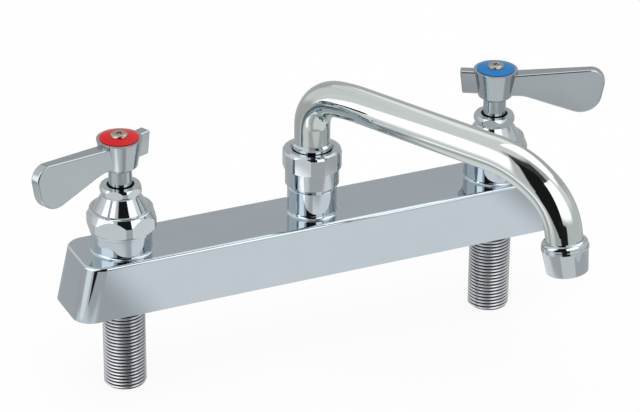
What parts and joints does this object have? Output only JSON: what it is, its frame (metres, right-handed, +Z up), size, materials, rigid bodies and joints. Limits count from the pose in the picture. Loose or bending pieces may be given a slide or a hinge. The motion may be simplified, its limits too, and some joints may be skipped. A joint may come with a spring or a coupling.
{
  "type": "deck-mount kitchen faucet",
  "caption": "Deck-mounted mixing faucet: flat-topped cast body, lever valves with hot and cold index discs, swivelling bent-tube spout with aerator and threaded inlet shanks below.",
  "frame": {"origin": "on the sink deck, at the centre of the body's underside, midway between the two inlet shanks", "axes": "+Z up out of the deck, +X along the body from the hot valve to the cold valve, -Y towards the user and the basin"},
  "size_m": [0.3035, 0.1658, 0.1488],
  "materials": {
    "body_chrome": "cast brass, polished and chrome plated",
    "chrome": "turned brass, polished and chrome plated",
    "cast_chrome": "die-cast lever, polished and chrome plated",
    "tube_chrome": "drawn brass tube, polished and chrome plated",
    "threaded_steel": "turned, plated pipe thread",
    "screw_steel": "domed, nickel plated, cross recess",
    "screen_steel": "woven stainless wire",
    "index_red": "gloss red, moulded",
    "index_blue": "gloss blue, moulded",
    "brass": "turned, unplated",
    "ceramic": "lapped alumina ceramic",
    "nylon": "moulded acetal",
    "packing": "graphited packing",
    "black_rubber": "moulded nitrile"
  },
  "bodies": {
    "faucet_body": {"body_casting": "body_chrome", "cold_bonnet": "chrome", "cold_bonnet_seal": "black_rubber", "cold_cartridge_sleeve": "brass", "cold_fixed_disc": "ceramic", "cold_gland": "brass", "cold_packing_nut": "chrome", "cold_packing_ring": "packing", "cold_seat_seal": "black_rubber", "cold_shank": "threaded_steel", "cold_thrust_washer": "nylon", "hot_bonnet": "chrome", "hot_bonnet_seal": "black_rubber", "hot_cartridge_sleeve": "brass", "hot_fixed_disc": "ceramic", "hot_gland": "brass", "hot_packing_nut": "chrome", "hot_packing_ring": "packing", "hot_seat_seal": "black_rubber", "hot_shank": "threaded_steel", "hot_thrust_washer": "nylon", "slide_washer": "nylon", "swivel_nut": "chrome", "swivel_ring": "chrome"},
    "hot_handle": {"hot_lever_handle": "cast_chrome", "hot_index_disc": "index_red", "hot_handle_screw": "screw_steel", "hot_stem": "brass", "hot_stem_ring": "black_rubber", "hot_turning_disc": "ceramic"},
    "cold_handle": {"cold_lever_handle": "cast_chrome", "cold_index_disc": "index_blue", "cold_handle_screw": "screw_steel", "cold_stem": "brass", "cold_stem_ring": "black_rubber", "cold_turning_disc": "ceramic"},
    "spout": {"spout_tube": "tube_chrome", "spout_foot": "brass", "spout_foot_ring_1": "black_rubber", "spout_foot_ring_2": "black_rubber", "aerator_shell": "chrome", "aerator_washer": "black_rubber", "flow_disc": "nylon", "aerator_screen": "screen_steel"}
  },
  "joints": [
    {"name": "hot_valve_turn", "type": "hinge", "parent": "faucet_body", "child": "hot_handle", "pos_m": [-0.1016, 0, 0], "axis": [0, 0, 1], "range_deg": [0, 90]},
    {"name": "cold_valve_turn", "type": "hinge", "parent": "faucet_body", "child": "cold_handle", "pos_m": [0.1016, 0, 0], "axis": [0, 0, 1], "range_deg": [-90, 0]},
    {"name": "spout_swing", "type": "hinge", "parent": "faucet_body", "child": "spout", "pos_m": [0, 0, 0], "axis": [0, 0, 1], "range_deg": [-75, 21]}
  ]
}
